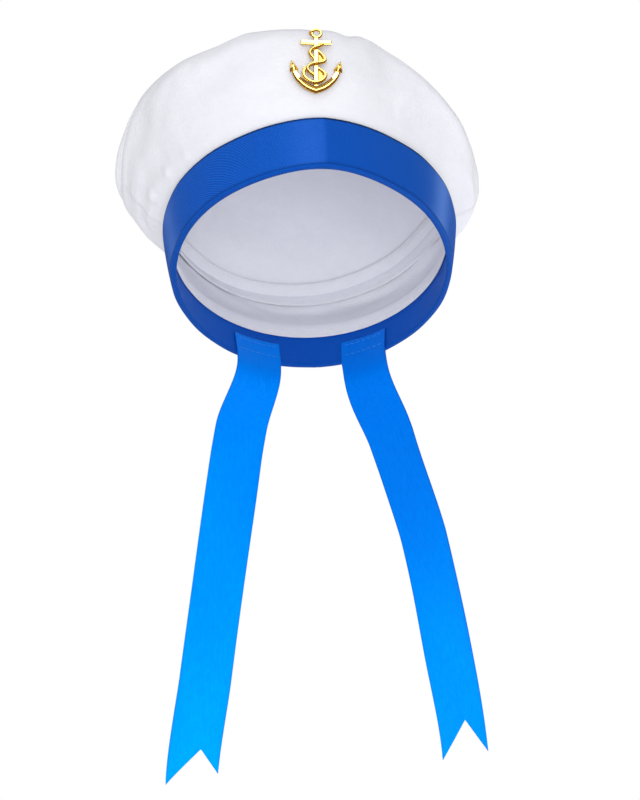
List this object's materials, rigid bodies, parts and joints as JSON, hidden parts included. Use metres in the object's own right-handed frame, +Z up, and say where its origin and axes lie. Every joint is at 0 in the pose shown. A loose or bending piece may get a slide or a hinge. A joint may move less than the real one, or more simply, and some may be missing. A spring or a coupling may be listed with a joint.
{
  "type": "sailor cap",
  "caption": "Soft sailor cap with a full white cloth crown, a blue twill head band, a gold anchor badge at the front and satin ribbon tails with swallowtail ends at the back.",
  "frame": {"origin": "centre of the band's lower rim, where a head goes in", "axes": "+Z up as the cap is worn, tipped back with its front edge up; the front and badge face -Y, and the ribbon tails hang along -Z behind"},
  "size_m": [0.2269, 0.2267, 0.4517],
  "materials": {
    "white_cloth": "matte plain weave",
    "blue_twill": "fine twill with a soft sheen",
    "azure_satin": "satin ribbon, thin enough for light to come through",
    "gold_metal": "polished gilt",
    "pin_metal": "plain plated"
  },
  "bodies": {
    "root": {"band": "blue_twill", "crown_front": "white_cloth", "crown_back": "white_cloth", "crown_top": "white_cloth", "anchor_badge": "gold_metal", "badge_pin": "pin_metal", "ribbon_left": "azure_satin", "ribbon_right": "azure_satin"}
  },
  "joints": []
}
